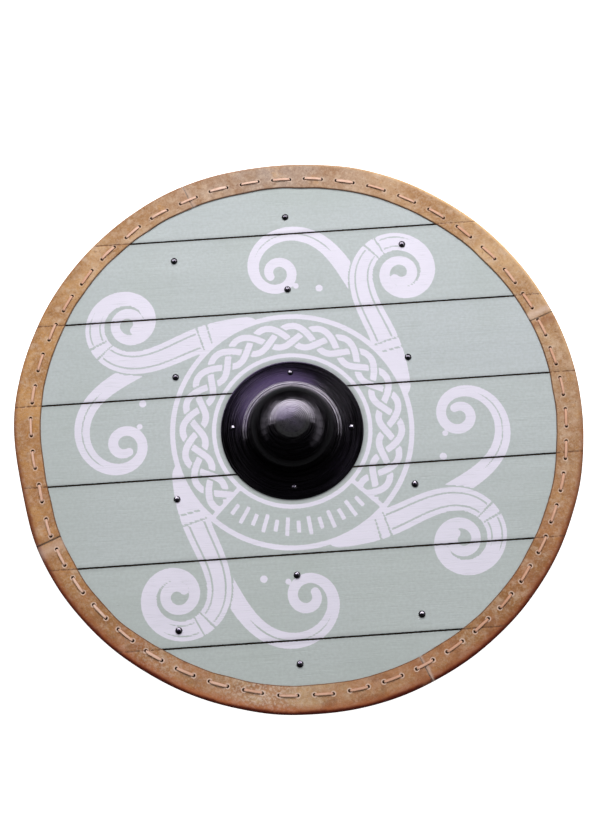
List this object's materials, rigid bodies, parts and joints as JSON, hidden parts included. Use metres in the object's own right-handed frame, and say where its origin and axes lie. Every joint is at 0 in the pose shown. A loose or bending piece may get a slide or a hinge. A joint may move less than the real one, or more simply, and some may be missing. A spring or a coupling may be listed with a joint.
{
  "type": "wooden round shield",
  "caption": "Round shield of edge-joined painted planks with a domed iron boss over the hand hole, a laced leather edge, nailed battens and a grip bar behind",
  "frame": {"origin": "on the floor under the centre of the round outline, with the shield lying on its back", "axes": "+X along the planks, +Y towards the top of the painted face, +Z out of the face"},
  "size_m": [0.8, 0.8, 0.0833],
  "materials": {
    "painted_wood": "matt sage-grey paint brushed along the grain, with a pale lilac pattern",
    "bare_wood": "planed, lightly oiled",
    "leather": "vegetable-tanned, waxed, darker at the fold",
    "lace": "flat rawhide-coloured thong",
    "iron": "glossy blackened sheet steel with turning marks"
  },
  "bodies": {
    "root": {"plank_1": "painted_wood", "plank_2": "painted_wood", "plank_3": "painted_wood", "plank_4": "painted_wood", "plank_5": "painted_wood", "plank_6": "painted_wood", "plank_7": "painted_wood", "leather_rim_1": "leather", "leather_rim_2": "leather", "leather_rim_3": "leather", "leather_rim_4": "leather", "lace": "lace", "boss": "iron", "nail_left_1": "iron", "nail_left_2": "iron", "nail_left_3": "iron", "nail_left_4": "iron", "nail_right_1": "iron", "nail_right_2": "iron", "nail_right_3": "iron", "nail_right_4": "iron", "nail_middle_1": "iron", "nail_middle_2": "iron", "nail_middle_3": "iron", "nail_middle_4": "iron", "boss_rivet_right": "iron", "boss_rivet_top": "iron", "boss_rivet_left": "iron", "boss_rivet_bottom": "iron", "batten_left": "bare_wood", "batten_right": "bare_wood", "handle": "bare_wood"}
  },
  "joints": []
}
